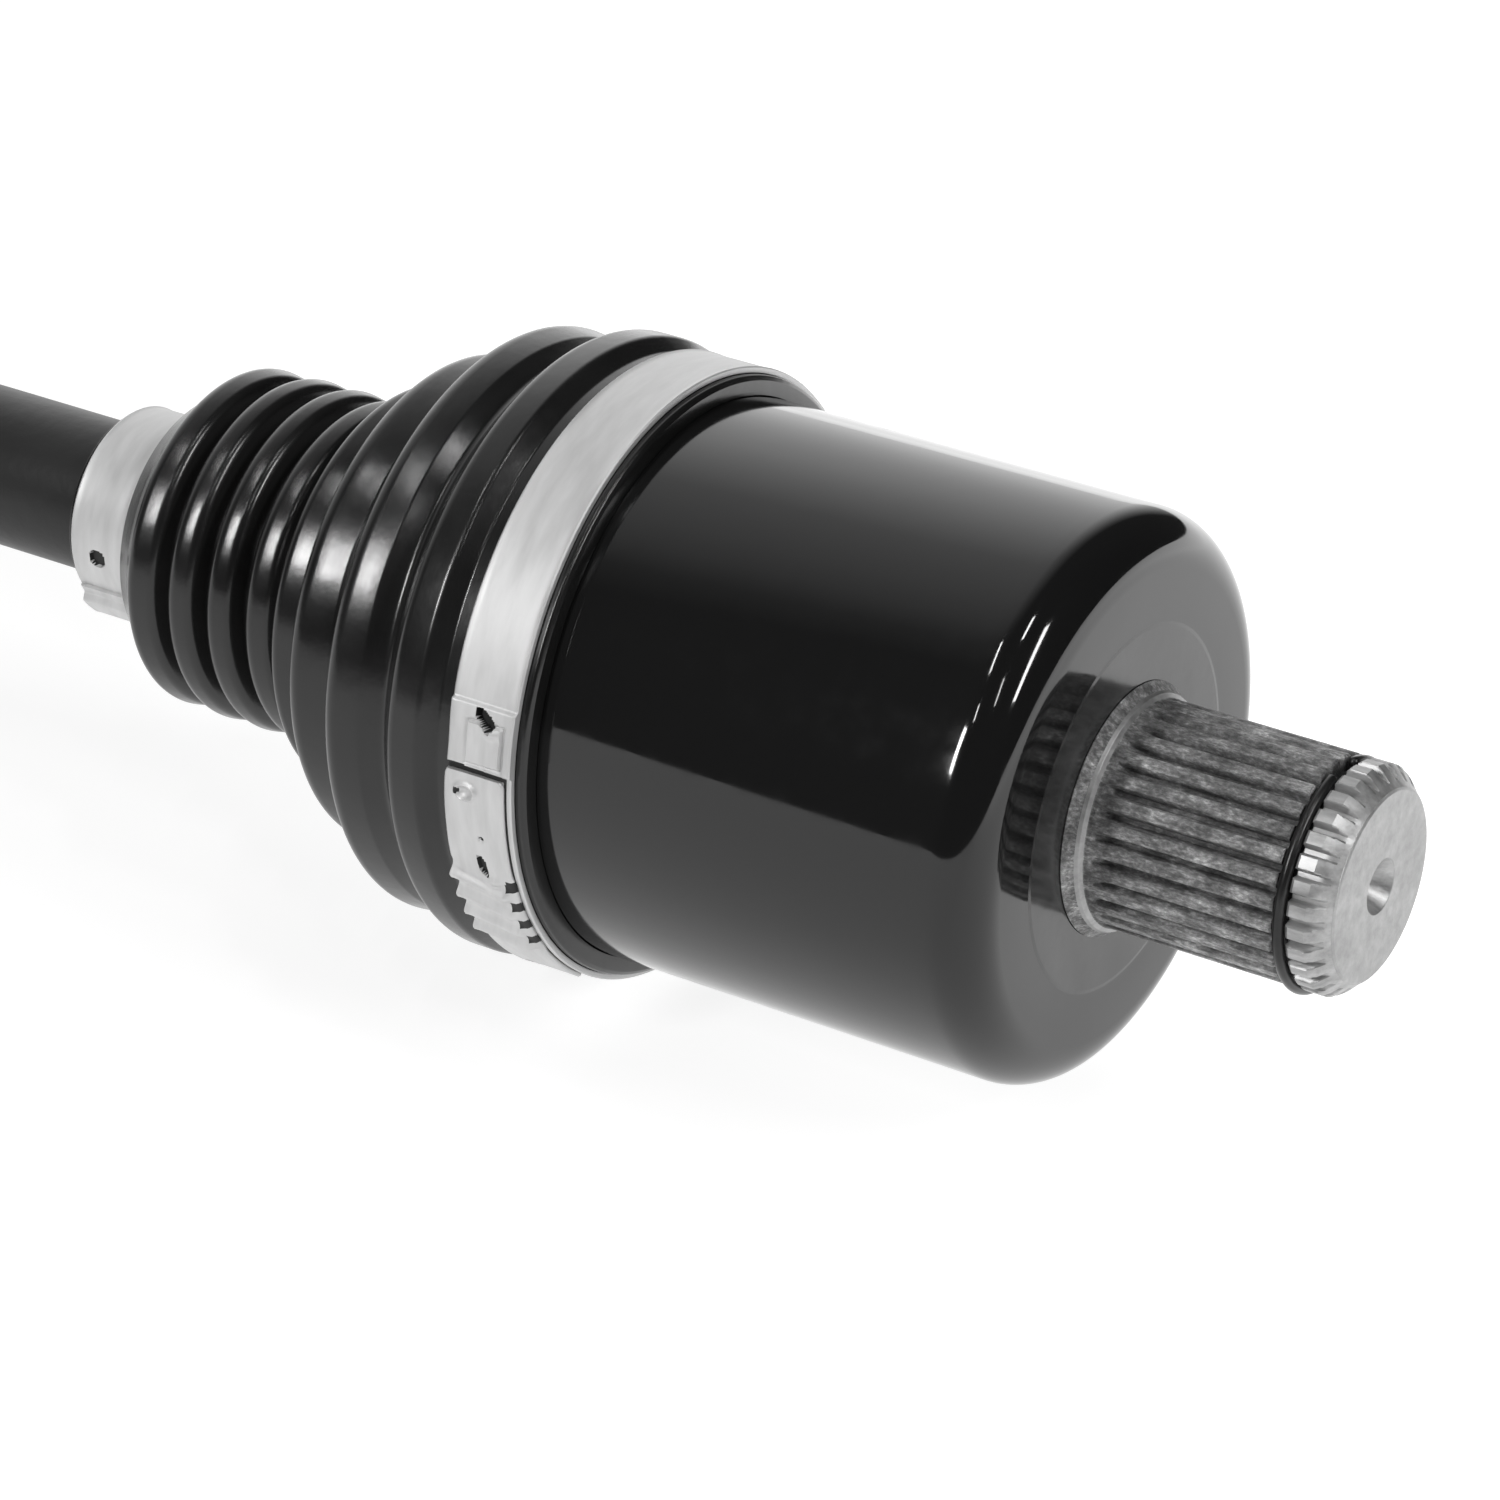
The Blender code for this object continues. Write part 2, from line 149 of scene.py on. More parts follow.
def multiplied(tree, first, second):
    """Product of two colours."""
    node = tree.nodes.new("ShaderNodeMix")
    node.data_type = "RGBA"
    node.blend_type = "MULTIPLY"
    node.inputs["Factor"].default_value = 1.0
    tree.links.new(first, node.inputs["A"])
    tree.links.new(second, node.inputs["B"])
    return node.outputs["Result"]


def bump(tree, shader, height, strength, distance):
    """Fine relief from a height; distance is in metres."""
    node = tree.nodes.new("ShaderNodeBump")
    node.inputs["Strength"].default_value = strength
    node.inputs["Distance"].default_value = distance
    tree.links.new(height, node.inputs["Height"])
    tree.links.new(node.outputs["Normal"], shader.inputs["Normal"])


def vary(tree, shader, socket, source):
    """Lets a texture drive one of the shader's sockets."""
    tree.links.new(source, shader.inputs[socket])


def grey(value):
    """A grey that leans a little to blue."""
    return (value, value, value * 1.01)


def paint_look():
    """Gloss black enamel: nearly flat, with a slight ripple and dust specks in its gloss."""
    made, shader, tree = new_material("gloss_black_paint", grey(0.009), 0.08, IOR=1.5)
    bump(tree, shader, noise(tree, 90.0, 2.0), 0.05, 0.0006)
    vary(tree, shader, "Roughness", mapped(tree, noise(tree, 260.0, 4.0), 0.3, 0.8, 0.04, 0.12))
    return made


def satin_face_look():
    """The machined ring round the stub: the same paint, thinner and dusty."""
    made, shader, tree = new_material("satin_face", grey(0.03), 0.15, IOR=1.5)
    cloud = noise(tree, 160.0, 4.0)
    vary(tree, shader, "Base Color", ramp(tree, cloud, [(0.35, 0.022), (0.7, 0.045)]))
    vary(tree, shader, "Roughness", mapped(tree, cloud, 0.3, 0.7, 0.12, 0.20))
    bump(tree, shader, noise(tree, 500.0, 3.0), 0.06, 0.0003)
    return made


def painted_radius_shade(tree, low, high, darkest):
    """Painted shade: darkest at the low radius round the axle and 1 from the high one on; radii in metres.
    """
    coords = tree.nodes.new("ShaderNodeTexCoord")
    flat = tree.nodes.new("ShaderNodeVectorMath")
    flat.operation = "MULTIPLY"
    flat.inputs[1].default_value = (0.0, 1.0, 1.0)
    reach = tree.nodes.new("ShaderNodeVectorMath")
    reach.operation = "LENGTH"
    tree.links.new(coords.outputs["Object"], flat.inputs[0])
    tree.links.new(flat.outputs["Vector"], reach.inputs[0])
    return mapped(tree, reach.outputs["Value"], low, high, darkest, 1.0)


def stub_look():
    """Machined steel, oily and stained: speckled mid grey, with painted shade darkening the roots between
    the teeth.
    """
    made, shader, tree = new_material("oiled_steel_painted_root_shade", grey(0.2), 0.56, 0.3)
    grain = noise(tree, 2400.0, 5.0, (0.45, 1.0, 1.0), 0.7)
    stain = noise(tree, 420.0, 4.0, (0.5, 1.0, 1.0), 0.6)
    speckle = ramp(tree, grain, [(0.38, 0.42), (0.50, 0.66), (0.60, 1.0), (0.70, 1.6)])
    patches = ramp(tree, stain, [(0.36, 0.17), (0.50, 0.28), (0.64, 0.50)])
    tone = multiplied(tree, speckle, patches)
    # painted shade: the colour darkens towards the tooth roots, where the gaps between the teeth lie in
    # shade
    tone = multiplied(tree, tone, painted_radius_shade(tree, 0.0127, 0.0138, 0.22))
    vary(tree, shader, "Base Color", tone)
    vary(tree, shader, "Roughness", mapped(tree, grain, 0.35, 0.7, 0.62, 0.46))
    bump(tree, shader, grain, 0.5, 0.0004)
    return made


def clean_steel_look(name, low, high, stretch, rough, metallic):
    """Bare turned steel with fine tool marks; its grey runs from low to high."""
    made, shader, tree = new_material(name, grey(0.5), rough, metallic)
    marks = noise(tree, 620.0, 5.0, stretch, 0.65)
    cloud = noise(tree, 90.0, 3.0)
    tone = multiplied(tree, ramp(tree, marks, [(0.28, low), (0.72, high)]),
                      ramp(tree, cloud, [(0.3, 0.78), (0.65, 1.0)]))
    vary(tree, shader, "Base Color", tone)
    vary(tree, shader, "Roughness", mapped(tree, marks, 0.3, 0.7, rough - 0.06, rough + 0.08))
    bump(tree, shader, marks, 0.22, 0.0003)
    return made


def rubber_look():
    """Moulded rubber: satin, a little uneven, with faint dust."""
    made, shader, tree = new_material("boot_rubber", grey(0.010), 0.30, IOR=1.52)
    cloud = noise(tree, 70.0, 4.0)
    vary(tree, shader, "Base Color", ramp(tree, cloud, [(0.3, 0.007), (0.7, 0.013)]))
    vary(tree, shader, "Roughness", mapped(tree, noise(tree, 180.0, 4.0), 0.3, 0.7, 0.20, 0.27))
    bump(tree, shader, noise(tree, 260.0, 3.0), 0.10, 0.0005)
    return made


def bar_look():
    """Satin black paint, softer than the cup's, with a fine grain."""
    made, shader, tree = new_material("bar_paint", grey(0.012), 0.42, IOR=1.5, Specular_IOR_Level=0.35)
    cloud = noise(tree, 60.0, 3.0, (0.4, 1.0, 1.0))
    vary(tree, shader, "Base Color", ramp(tree, cloud, [(0.3, 0.010), (0.7, 0.016)]))
    vary(tree, shader, "Roughness", mapped(tree, cloud, 0.3, 0.7, 0.34, 0.46))
    bump(tree, shader, noise(tree, 420.0, 3.0), 0.18, 0.0004)
    return made


def clamp_look():
    """Bright rolled strip with a fine matt skin and light rolling marks."""
    made, shader, tree = new_material("clamp_steel", grey(0.62), 0.52, 0.6)
    marks = noise(tree, 240.0, 4.0, (2.2, 0.5, 0.5))
    vary(tree, shader, "Base Color", ramp(tree, marks, [(0.3, 0.55), (0.7, 0.68)]))
    vary(tree, shader, "Roughness", mapped(tree, marks, 0.3, 0.7, 0.48, 0.58))
    bump(tree, shader, marks, 0.06, 0.0002)
    return made


def dark_look(name, value, rough, metallic=0.0):
    """Nearly black, a little uneven."""
    made, shader, tree = new_material(name, grey(value), rough, metallic)
    cloud = noise(tree, 300.0, 3.0)
    vary(tree, shader, "Base Color", ramp(tree, cloud, [(0.3, value * 0.7), (0.7, value * 1.3)]))
    return made


def ball_look():
    """Polished hard steel."""
    made, shader, tree = new_material("ball_steel", grey(0.75), 0.08, 1.0)
    vary(tree, shader, "Roughness", mapped(tree, noise(tree, 200.0, 2.0), 0.3, 0.7, 0.05, 0.1))
    return made


PAINT = paint_look()
SATIN = satin_face_look()
# oiled and stained steel whose colour also holds painted shade at the tooth roots
OILED_ROOT_SHADED = stub_look()
COLLAR = clean_steel_look("collar_steel", 0.30, 0.62, (0.3, 1.0, 1.0), 0.42, 0.65)
END_FACE = clean_steel_look("end_face_steel", 0.32, 0.52, (1.0, 1.0, 1.0), 0.46, 0.7)
RUBBER = rubber_look()
BAR = bar_look()
CLAMP = clamp_look()
# near-black paint standing in for the shade inside the clamps' holes, gaps, dents and notches
CLAMP_SHADE_PAINT = dark_look("clamp_painted_shade", 0.01, 0.6)
WIRE = dark_look("spring_wire", 0.03, 0.28, 0.6)
BEARING = clean_steel_look("bearing_steel", 0.34, 0.5, (1.0, 1.0, 1.0), 0.26, 1.0)
BALL = ball_look()


# ---------------------------------------------------------------- shapes

def build(name, rows, looks, loop=False, sharp=32.0, pick=None):
    """A closed skin through rows of points. A row of one point is a pole.

    loop joins the last row to the first. Edges bent by more than sharp degrees stay crisp.
    pick(centre) gives a face's material index from its centre."""
    points, starts = [], []
    for row in rows:
        starts.append(len(points))
        points.extend(tuple(p) for p in row)
    faces = []
    pairs = list(zip(range(len(rows) - 1), range(1, len(rows))))
    if loop:
        pairs.append((len(rows) - 1, 0))
    for a, b in pairs:
        na, nb = len(rows[a]), len(rows[b])
        n = max(na, nb)
        for i in range(n):
            j = (i + 1) % n
            if na == 1:
                faces.append((starts[a], starts[b] + i, starts[b] + j))
            elif nb == 1:
                faces.append((starts[a] + i, starts[a] + j, starts[b]))
            else:
                faces.append((starts[a] + i, starts[a] + j, starts[b] + j, starts[b] + i))
    mesh = bpy.data.meshes.new(name)
    mesh.from_pydata((np.array(points) * MM).tolist(), [], faces)
    work = bmesh.new()
    work.from_mesh(mesh)
    bmesh.ops.recalc_face_normals(work, faces=work.faces)
    work.to_mesh(mesh)
    work.free()
    return finish_mesh(name, mesh, looks, sharp, pick)


def finish_mesh(name, mesh, looks, sharp, pick=None):
    """Puts a mesh in the scene, shaded smooth, with one look or a list of them."""
    made = bpy.data.objects.new(name, mesh)
    bpy.context.scene.collection.objects.link(made)
    for look in looks if isinstance(looks, (list, tuple)) else [looks]:
        mesh.materials.append(look)
    mesh.polygons.foreach_set("use_smooth", [True] * len(mesh.polygons))
    mesh.set_sharp_from_angle(angle=math.radians(sharp))
    if pick:
        for face in mesh.polygons:
            face.material_index = pick(face.center / MM)
    return made


def ring(x, radius, sides=SIDES, origin=0.0):
    """One row of points round the axle, from -Y towards +Z. radius is a number or one for each side."""
    if np.isscalar(radius) and radius == 0.0:
        return np.array([[x + origin, 0.0, 0.0]])
    angle = np.arange(sides) * TAU / sides
    reach = np.broadcast_to(radius, (sides,))
    return np.stack([np.full(sides, x + origin), -reach * np.cos(angle), reach * np.sin(angle)], axis=1)


def filleted(points, steps):
    """(x, r, fillet) corners to (x, r) points, each corner rounded by its fillet radius."""
    out = []
    for i, point in enumerate(points):
        x, r, fillet = (*point, 0.0)[:3]
        if fillet <= 0.0 or i in (0, len(points) - 1):
            out.append((x, r))
            continue
        here = Vector((x, r))
        back = Vector(points[i - 1][:2]) - here
        ahead = Vector(points[i + 1][:2]) - here
        half = back.angle(ahead) / 2.0
        reach = min(fillet / math.tan(half), 0.49 * back.length, 0.49 * ahead.length)
        radius = reach * math.tan(half)
        back.normalize()
        ahead.normalize()
        centre = here + (back + ahead).normalized() * (radius / math.sin(half))
        first = here + back * reach - centre
        last = here + ahead * reach - centre
        turn = first.angle_signed(last)
        for k in range(steps + 1):
            spun = Matrix.Rotation(-turn * k / steps, 2) @ first
            out.append(tuple(centre + spun))
    return out


def track_angles():
    """Each side's angle from the middle of its nearest ball track, in radians; one track is at the top."""
    pitch = TAU / BALLS
    return (np.arange(SIDES) * TAU / SIDES - TAU / 4.0 + pitch / 2.0) % pitch - pitch / 2.0


def track_wall(base, pitch, radius):
    """Bore radius round the axle with straight ball tracks in it."""
    off = track_angles()
    inside = radius ** 2 - (pitch * np.sin(off)) ** 2
    wall = pitch * np.cos(off) + np.sqrt(np.maximum(inside, 0.0))
    return np.where(inside > 0.0, np.maximum(base, wall), base)


def teeth_cut(teeth, depth, sides):
    """How far the surface lies below the tooth tips, for each side round the axle."""
    land, root = 0.52, 0.80            # where the flank starts and ends, as shares of half a pitch
    u = (np.arange(sides) * teeth / sides) % 1.0
    off = np.abs(u - 0.5) * 2.0
    t = np.clip((off - land) / (root - land), 0.0, 1.0)
    return depth * t * t * (3.0 - 2.0 * t)


def capped(rows):
    """The rows with a pole in the middle of the first and of the last."""
    return [rows[0].mean(axis=0, keepdims=True)] + rows + [rows[-1].mean(axis=0, keepdims=True)]


def run_out(start, length, tip, cut, sides, origin):
    """Rows where the cutter left the shaft: teeth deepen along length, which is negative towards -X."""
    steps = 6
    shares = [k / steps for k in range(1, steps + 1)]
    return [ring(start + length * s, tip - cut * (s * (2.0 - s)), sides, origin) for s in shares]


def ride(piece, body):
    """Gives a rigid piece the body it moves with."""
    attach(piece, body)


# ---------------------------------------------------------------- inboard joint

def cup():
    """Cylindrical cup with a rounded front edge, a ring of bare face, ball tracks and a stop ring groove."""
    length, outer, edge, bore, floor_x = 77.0, 36.0, 6.3, 29.5, -10.5
    step, face_r = 0.06, 22.95             # how far the bare face stands proud, and its radius
    groove_low, groove_high, groove_r = -73.0, -70.2, 31.2
    ball_circle, track = 25.0, 8.65
    front = [(step, 0.0), (step, 12.0)]
    front += filleted([(step, 20.0), (step, 22.6, 0.5), (0.0, 23.1, 0.5), (0.0, 24.0)], 3)
    arc = 12
    for i in range(arc + 1):
        a = math.radians(90.0 * i / arc)
        front.append((-edge + edge * math.cos(a), outer - edge + edge * math.sin(a)))
    front += filleted([(-8.0, outer), (-length, outer, 0.8), (-length, outer - 2.0)], 4)
    mouth = [(-length, 32.5), (-length + 3.0, bore + 0.4), (groove_low, bore), (groove_low, groove_r),
             (groove_high, groove_r), (groove_high, bore), (-13.2, bore)]
    inside = [(-13.1, bore), (floor_x, bore - 3.0), (floor_x, 15.0), (floor_x, 0.0)]
    rows = [ring(x, r, origin=FACE) for x, r in front]
    rows += [ring(x, track_wall(r, ball_circle, track), origin=FACE) for x, r in mouth]
    rows += [ring(x, r, origin=FACE) for x, r in inside]

    def pick(c):
        return 1 if c.x > FACE - 0.05 and math.hypot(c.y, c.z) < face_r else 0
    made = build("inboard_housing_shell", rows, [PAINT, SATIN], sharp=28.0, pick=pick)
    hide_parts("inboard_housing")
    ride(made, "inboard_housing")


def stub():
    """Splined stub: teeth with run-out at the cup, circlip groove, chamfered toothed collar, centre hole."""
    teeth, tip, depth = 30, 14.2, 1.2
    sides = teeth * 20
    cut = teeth_cut(teeth, depth, sides)
    toothed = tip - cut
    lip_end, groove, groove_wide, groove_r = 2.8, 27.0, 1.8, tip - 1.9
    lip = filleted([(0.2, 15.9), (0.5, 15.6, 0.3), (1.4, 15.0, 0.3), (1.9, 14.8, 0.2), (2.3, tip, 0.2),
                    (lip_end, tip)], 3)
    profile = [(-3.0, 0.0), (-3.0, 13.0), *lip]
    rows = [ring(x, r, sides, FACE) for x, r in profile]
    rows += run_out(lip_end, 3.6, tip, cut, sides, FACE)
    end = STUB_TIP
    past = groove + groove_wide
    lip_edge_low, lip_edge_high, hole_r = 1.45, 2.1, 6.0
    profile = [(12.0, toothed), (20.0, toothed), (groove - 0.25, toothed),
               (groove, np.minimum(tip - 0.25, toothed)), (groove + 0.02, groove_r), (past, groove_r),
               (past + 0.02, np.minimum(tip - 0.3, toothed)), (past + 0.4, toothed)]
    chamfer = [(end - 2.7, tip), (end - 1.9, tip - 0.55), (end - 0.9, tip - 1.6), (end - 0.25, 12.0)]
    profile += [(x, np.minimum(r, toothed)) for x, r in chamfer]
    profile += filleted([(end - 0.2, 12.0), (end, 11.7, 0.15), (end, 8.0), (end, 3.5, 0.2),
                         (end - 3.2, 1.5), (end - 6.0, 1.5), (end - 6.6, 0.0)], 3)
    rows += [ring(x, r, sides, FACE) for x, r in profile]

    def pick(c):
        """Bright end face and lip edge, worn collar, oiled teeth with painted shade at their roots."""
        x, r = c.x - FACE, math.hypot(c.y, c.z)
        if x > end - 0.3 or lip_edge_low < x < lip_edge_high:
            return 2
        return 1 if x > groove + 1.0 or r < hole_r else 0
    made = build("inboard_stub", rows, [OILED_ROOT_SHADED, COLLAR, END_FACE], sharp=26.0, pick=pick)
    ride(made, "inboard_housing")


def wire_ring(name, station, radius, wire, gap, drop, node, body):
    """Round wire bent to a ring that is open at the top and hangs below centre by drop.

    wire is its section's radius and gap is half the opening, in degrees."""
    around, across = 120, 16
    rows = []
    first, last = 90.0 + gap, 450.0 - gap
    turn = np.radians(np.linspace(first, last, around))
    ends = [(-0.9, 0.35), (-0.6, 0.75), (-0.3, 0.95)]      # rounded end: (place, radius), in wire radii
    stations = [(turn[0], wire * s, e * wire) for e, s in ends] + [(a, wire, 0.0) for a in turn]
    stations += [(turn[-1], wire * s, -e * wire) for e, s in reversed(ends)]
    spin = np.arange(across) * TAU / across
    for angle, size, slide in stations:
        out = np.array([0.0, -math.cos(angle), math.sin(angle)])
        along = np.array([0.0, math.sin(angle), math.cos(angle)])
        centre = out * radius + along * slide + np.array([station, 0.0, -drop])
        section = np.outer(np.cos(spin) * size, out) + np.outer(np.sin(spin) * size, [1.0, 0.0, 0.0])
        rows.append(centre + section)
    made = build(name, capped(rows), WIRE, sharp=50.0)
    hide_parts(node)
    ride(made, body)


# ---------------------------------------------------------------- boots

def boot(prefix, corners, bore, origin, bodies, marks):
    """Bellows in closed rings. corners are the outline's (x, r, fillet), x rising; bore is the inner (x, r).

    Rings between the marks ride on no body; the end rings ride on the end bodies."""
    outer = [corners[0][:2]]
    for point in filleted(corners, 7)[1:]:
        if point[0] > outer[-1][0] + 0.01:
            outer.append(point)
    xs, rs = np.array(outer).T
    bore_x, bore_r = np.array(bore).T
    tangent = np.gradient(np.stack([xs, rs], axis=1), axis=0)
    tangent /= np.linalg.norm(tangent, axis=1, keepdims=True)
    stations = [xs[0], *marks, xs[-1]]
    inner_rows = 12
    for number, (low, high) in enumerate(zip(stations, stations[1:])):
        keep = (xs > low + 1e-4) & (xs < high - 1e-4)
        px = np.concatenate([[low], xs[keep], [high]])
        pr = np.concatenate([[np.interp(low, xs, rs)], rs[keep], [np.interp(high, xs, rs)]])
        tx = np.interp(px, xs, tangent[:, 0])
        tr = np.interp(px, xs, tangent[:, 1])
        inner = np.maximum(pr - RUBBER_WALL, np.interp(px, bore_x, bore_r))
        step = max(1, len(px) // inner_rows)
        back = sorted({*range(0, len(px), step), len(px) - 1}, reverse=True)
        rows = [ring(x, r, origin=origin) for x, r in zip(px, pr)]
        rows += [ring(px[i], inner[i], origin=origin) for i in back]
        piece = build(f"{prefix}_boot_ring_{number + 1}", rows, RUBBER, loop=True, sharp=60.0)
        smooth_seam(piece, px, pr, tx, tr, origin)
        if number == 0:
            ride(piece, bodies[0])
            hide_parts(f"{prefix}_boot")
        elif number == len(marks):
            ride(piece, bodies[-1])
        else:
            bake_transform(piece)


def smooth_seam(piece, px, pr, tx, tr, origin):
    """Sets the outer skin's normals at both end rows from the whole outline, so the rings meet unseen."""
    mesh = piece.data
    wanted = {round(px[i] + origin, 3): (pr[i], tx[i], tr[i]) for i in (0, -1)}
    normals = [(0.0, 0.0, 0.0)] * len(mesh.loops)
    middle = [v.co / MM for v in mesh.vertices]
    for face in mesh.polygons:
        stations = {round(middle[v].x, 3) for v in face.vertices}
        if len(stations) < 2 or face.normal.dot(Vector((0.0, face.center.y, face.center.z))) <= 0.0:
            continue
        for index in face.loop_indices:
            co = middle[mesh.loops[index].vertex_index]
            found = wanted.get(round(co.x, 3))
            if found is None or abs(math.hypot(co.y, co.z) - found[0]) > 0.01:
                continue
            r, ax, ar = found
            normals[index] = (-ar, co.y / r * ax, co.z / r * ax)
    mesh.normals_split_custom_set(normals)


def inboard_boot():
    """Four small folds, a step, two large folds and a rim; the cuffs lie under the clamps."""
    fold, valley_r = 6.1, 18.5
    corners = [(-149.9, 12.4), (-149.7, CUFF, 0.2), (-140.0, CUFF, 0.3), (-139.4, 13.9, 0.4),
               (-137.8, 17.4, 1.4), (-134.6, 20.1, 1.6), (-132.4, 22.6, 1.6), (-129.2, 22.0, 1.5)]
    for k, low in enumerate((valley_r, valley_r, valley_r + 0.2)):
        valley = -127.7 + fold * k
        corners += [(valley, low, 0.5), (valley + 1.5, 22.9, 1.6), (valley + 4.7, 22.3, 1.5)]
    corners += [(-109.0, 19.8, 0.8), (-107.0, 26.8, 1.3), (-102.5, 25.9, 0.8), (-100.1, 32.4, 2.0),
                (-94.8, 31.5, 1.4), (-93.0, 30.9, 0.8), (-90.3, 38.4, 2.0), (-85.7, 37.5, 1.6),
                (-82.6, 35.9, 1.2), (-79.4, 40.1, 1.8), (-75.3, 40.1, 1.5), (-73.2, 38.5, 0.8),
                (-60.9, 38.5, 0.5), (-60.5, 37.9, 0.2), (-60.4, 36.5)]
    bore = [(-150.0, BAR_BORE), (-140.0, BAR_BORE), (-137.0, 14.0), (-80.0, 14.0), (-76.5, 36.1),
            (-60.0, 36.1)]
    bodies = ["axle", "inboard_upper_ball", "inboard_cage", "inboard_lower_ball", "inboard_boot",
              "inboard_housing"]
    boot("inboard", corners, bore, FACE, bodies, [-116.0, -110.0, -103.8, -97.5, -91.2, -73.2])


def outboard_boot():
    """A rim beside the bell, then six folds that get smaller towards the bar."""
    crests = [(33.6, 40.4), (44.4, 38.2), (54.6, 34.6), (64.2, 30.4), (73.2, 26.2), (81.6, 22.6)]
    valleys = [35.7, 31.9, 27.9, 23.7, 19.9, 17.1]
    corners = [(10.5, 38.2), (10.6, 40.3, 0.5), (20.8, 40.3, 0.8), (22.8, 41.0, 0.8), (24.6, 40.6, 0.8),
               (28.2, 37.0, 1.4)]
    for (x, r), low in zip(crests, valleys):
        corners += [(x, r, 1.1), (x + 5.2, low, 1.4)]
    corners += [(90.2, 16.2, 0.8), (91.2, CUFF, 0.5), (101.0, CUFF, 0.3), (101.2, 12.3)]
    bore = [(10.0, 38.1), (21.5, 38.1), (23.5, 15.0), (86.0, 11.5), (91.0, BAR_BORE), (102.0, BAR_BORE)]
    bodies = ["outboard_housing", "outboard_lower_ball", "outboard_cage", "outboard_upper_ball", "axle"]
    boot("outboard", corners, bore, BELL_PIVOT, bodies, [22.0, 37.4, 52.0, 65.0, 76.8])


# ---------------------------------------------------------------- clamps

def strap(name, x_low, x_high, turns, inner, thick, height, lanes, dark=None, whole=False, edges=None):
    """A band of spring strip round the axle through the given angles, lanes points wide.

    height(angle, share across) is added to its outer radius; edges(angle) moves its two edges.
    dark(angle, share) is true where faces get near-black painted shade, for a hole, gap or pit. whole closes
    it on itself."""
    share = np.linspace(0.0, 1.0, lanes)
    edge, least = 0.16, 0.09               # how far the rims are rounded down; the floor of a hole
    bulge, waist = 0.06, 0.25              # the sides bow out by bulge at this height
    rows = []
    for a in turns:
        rad = math.radians(a)
        shift_low, shift_high = edges(a) if edges else (0.0, 0.0)
        low, high = x_low + shift_low, x_high + shift_high
        outer = np.array([inner + max(least, thick + height(a, s)) for s in share])
        outer[0] -= edge
        outer[-1] -= edge
        section = [(low + (high - low) * s, r) for s, r in zip(share, outer)]
        section += [(high + bulge, inner + waist), (high, inner), (low, inner), (low - bulge, inner + waist)]
        rows.append(np.array([[x, -r * math.cos(rad), r * math.sin(rad)] for x, r in section]))

    def pick(c):
        if dark is None or math.hypot(c.y, c.z) < inner + 0.05:
            return 0
        return int(dark(math.degrees(math.atan2(c.z, -c.y)), (c.x - x_low) / (x_high - x_low)))
    return build(name, rows if whole else capped(rows), [CLAMP, CLAMP_SHADE_PAINT], loop=whole, sharp=38.0, pick=pick)


def bell_curve(distance, width):
    """1 at distance 0, fading over width on both sides."""
    return math.exp(-(distance / width) ** 2)


def plateau(distance, half, soft):
    """1 inside half, 0 beyond half + soft, smooth between."""
    t = min(1.0, max(0.0, (abs(distance) - half) / soft))
    return 1.0 - t * t * (3.0 - 2.0 * t)


def angle_off(angle, place):
    """Angle from place, between -180 and 180."""
    return (angle - place + 180.0) % 360.0 - 180.0


def fine_turns(first, last, fine_low, fine_high, coarse, fine):
    """Angles from first to last, closer together inside the fine stretch."""
    out, a = [], first
    while a < last - 1e-6:
        out.append(a)
        if a < fine_low:
            a += min(coarse, max(fine, fine_low - a))
        else:
            a += fine if a < fine_high else coarse
    return out


def hole(angle, share, spot):
    """True inside a rounded slot; spot is (angle, share, half angle, half share, slant)."""
    place, across, half, half_share, slant = spot
    v = share - across
    u = angle_off(angle, place) + slant * v
    return (abs(u) / half) ** 2.6 + (abs(v) / half_share) ** 2.6 < 1.0


BAND_THICK = 0.7
THROUGH = -1.0                                    # a height far enough down to make a hole
HOOK_HOLE = (11.8, 0.55, 1.35, 0.15, 7.0)         # in the band, under its hook
LAP_HOLE = (-17.6, 0.54, 2.1, 0.075, 10.0)        # in the lap, beside its hook
SMALL_HOLE = (-7.5, 0.48, 5.0, 0.13, 0.0)         # in the small clamp's band
DENT = (-11.4, 0.58)                              # dent in the lap, with painted shade in it, (angle, share)
RIDGES = [-20.8 - 5.0 * k for k in range(4)]      # angles of the lap's pressed ridges
NOTCHES = [-21.0, -26.1, -31.1, -36.1]            # painted shade for the gaps between them at the lap's edge


def low_edge(a):
    """How far the large clamp's edge at its low x waves near its closure."""
    return 0.35 * bell_curve(angle_off(a, 6.0), 7.0) - 0.1 * bell_curve(angle_off(a, -16.0), 5.0)


def large_band_height(angle, share):
    """Turned-up rims, and a raised tongue with a sunk frame round its window and a hook."""
    a = angle_off(angle, 0.0)
    h = 0.15 * bell_curve(share, 0.05) + 0.10 * bell_curve(1.0 - share, 0.04)
    h += 0.45 * plateau(a - 8.2, 5.6, 0.7)
    inside = plateau(a - 7.2, 3.6, 0.3) * plateau(share - 0.56, 0.25, 0.03)
    around = plateau(a - 7.2, 4.1, 0.3) * plateau(share - 0.56, 0.29, 0.03)
    h += 0.30 * inside - 0.25 * around * (1.0 - inside)
    h += 0.8 * bell_curve(a - 9.9, 0.8) * bell_curve(share - 0.68, 0.10)
    return THROUGH if hole(angle, share, HOOK_HOLE) else h


def large_band_painted_shade(angle, share):
    """Painted shade for the gap at the lap's end, the gap along its side and the hole."""
    gap = 1.2 < angle < 2.9 - 0.9 * share and share < 0.93
    side = -57.0 < angle < 1.6 and 0.885 < share < 0.925
    return gap or side or hole(angle, share, HOOK_HOLE)


